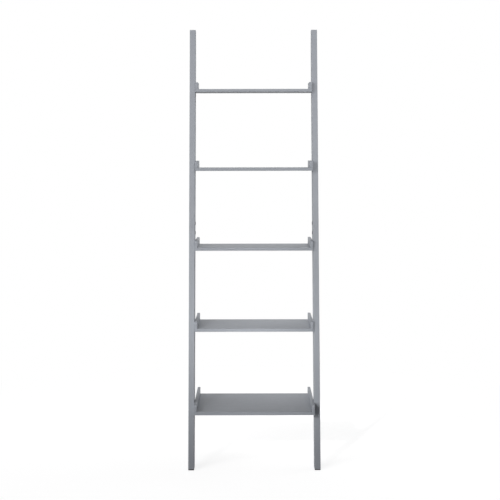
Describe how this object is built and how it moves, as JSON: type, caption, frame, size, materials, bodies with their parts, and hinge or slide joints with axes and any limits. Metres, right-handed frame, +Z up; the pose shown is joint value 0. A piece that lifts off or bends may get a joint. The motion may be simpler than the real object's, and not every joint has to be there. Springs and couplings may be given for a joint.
{
  "type": "ladder shelf",
  "caption": "Ladder shelf that leans on a wall: two sloping side rails carry boards that get shallower upwards, each with a low cheek at both ends.",
  "frame": {"origin": "on the floor, in the middle of the width, half way between the wall and the front edge of the bottom board", "axes": "+X to the right seen from the front, +Y towards the wall, +Z up"},
  "size_m": [0.56, 0.385, 1.88],
  "materials": {
    "grey_paint": "satin bluish-grey paint on fibreboard",
    "rubber": "matt anti-slip rubber",
    "zinc": "bright zinc plating",
    "dark_zinc": "die-cast zinc, blackened",
    "beech": "bare fluted dowel"
  },
  "bodies": {
    "root": {"rail_left_lower": "grey_paint", "rail_left_upper": "grey_paint", "rail_right_lower": "grey_paint", "rail_right_upper": "grey_paint", "shelf_board_1": "grey_paint", "shelf_board_2": "grey_paint", "shelf_board_3": "grey_paint", "shelf_board_4": "grey_paint", "shelf_board_5": "grey_paint", "cheek_left_1": "grey_paint", "cheek_left_2": "grey_paint", "cheek_left_3": "grey_paint", "cheek_left_4": "grey_paint", "cheek_left_5": "grey_paint", "cheek_right_1": "grey_paint", "cheek_right_2": "grey_paint", "cheek_right_3": "grey_paint", "cheek_right_4": "grey_paint", "cheek_right_5": "grey_paint", "foot_pad_left": "rubber", "hanger_plate_left": "zinc", "foot_pad_right": "rubber", "hanger_plate_right": "zinc", "shelf_bolts": "zinc", "rail_inserts": "zinc", "cheek_screws": "zinc", "joint_cams": "dark_zinc", "joint_bolts": "zinc", "hanger_screws": "zinc", "joint_dowels": "beech"}
  },
  "joints": []
}
